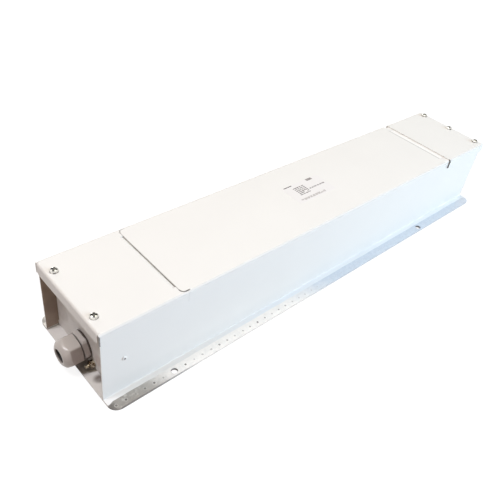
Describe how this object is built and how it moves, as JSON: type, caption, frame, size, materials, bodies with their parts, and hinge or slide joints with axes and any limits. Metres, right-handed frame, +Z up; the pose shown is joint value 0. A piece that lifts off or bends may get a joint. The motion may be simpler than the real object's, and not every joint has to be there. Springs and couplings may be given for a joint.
{
  "type": "emi filter",
  "caption": "Long power-line filter in a folded, screened sheet-metal case with lapped covers, recessed ends, cable glands, earth studs and drilled mounting flanges.",
  "frame": {"origin": "middle of the case's underside", "axes": "+X along the case from the near end, the gland end seen in the picture, to the far end; +Y across the case to the side hidden in the picture; +Z up"},
  "size_m": [0.7626, 0.166, 0.1116],
  "materials": {
    "case_paint": "pale grey powder coat, satin",
    "cover_paint": "warm off-white powder coat, satin",
    "galvanised_sheet": "zinc-coated steel sheet, dull",
    "plated_steel": "zinc-plated steel",
    "gland_plastic": "moulded polyamide, warm grey",
    "seal_rubber": "black rubber",
    "washer_fibre": "dark sealing washer",
    "can_aluminium": "drawn aluminium can with a resin end",
    "terminal_brass": "plain brass",
    "core_coating": "dark green core case",
    "winding_copper": "enamelled copper",
    "saddle_plastic": "moulded insulating block"
  },
  "bodies": {
    "root": {"base_plate": "galvanised_sheet", "capacitor_nuts": "terminal_brass", "centre_bulkhead": "galvanised_sheet", "centre_line_capacitor": "can_aluminium", "centre_line_stud": "terminal_brass", "centre_neutral_capacitor": "can_aluminium", "centre_neutral_stud": "terminal_brass", "far_bulkhead": "galvanised_sheet", "far_choke_core": "core_coating", "far_choke_saddle": "saddle_plastic", "far_choke_strap": "galvanised_sheet", "far_cover": "cover_paint", "far_cover_rail": "case_paint", "far_cover_screws": "plated_steel", "far_earth_nut": "plated_steel", "far_earth_stud": "plated_steel", "far_earth_washer": "plated_steel", "far_end_plate": "case_paint", "far_gland_body": "gland_plastic", "far_gland_dome_nut": "gland_plastic", "far_gland_locknut": "gland_plastic", "far_gland_seal": "seal_rubber", "far_gland_washer": "washer_fibre", "far_line_capacitor": "can_aluminium", "far_line_stud": "terminal_brass", "far_line_winding": "winding_copper", "far_neutral_capacitor": "can_aluminium", "far_neutral_stud": "terminal_brass", "far_neutral_winding": "winding_copper", "left_side_wall": "case_paint", "middle_cover": "cover_paint", "near_bulkhead": "galvanised_sheet", "near_choke_core": "core_coating", "near_choke_saddle": "saddle_plastic", "near_choke_strap": "galvanised_sheet", "near_cover": "cover_paint", "near_cover_rail": "case_paint", "near_cover_screws": "plated_steel", "near_earth_nut": "plated_steel", "near_earth_stud": "plated_steel", "near_earth_washer": "plated_steel", "near_end_plate": "case_paint", "near_gland_body": "gland_plastic", "near_gland_dome_nut": "gland_plastic", "near_gland_locknut": "gland_plastic", "near_gland_seal": "seal_rubber", "near_gland_washer": "washer_fibre", "near_line_capacitor": "can_aluminium", "near_line_stud": "terminal_brass", "near_line_winding": "winding_copper", "near_neutral_capacitor": "can_aluminium", "near_neutral_stud": "terminal_brass", "near_neutral_winding": "winding_copper", "plate_rivets": "plated_steel", "press_nuts": "plated_steel", "right_side_wall": "case_paint", "rod_couplings": "terminal_brass", "terminal_nuts": "terminal_brass", "terminal_washers": "terminal_brass"}
  },
  "joints": []
}
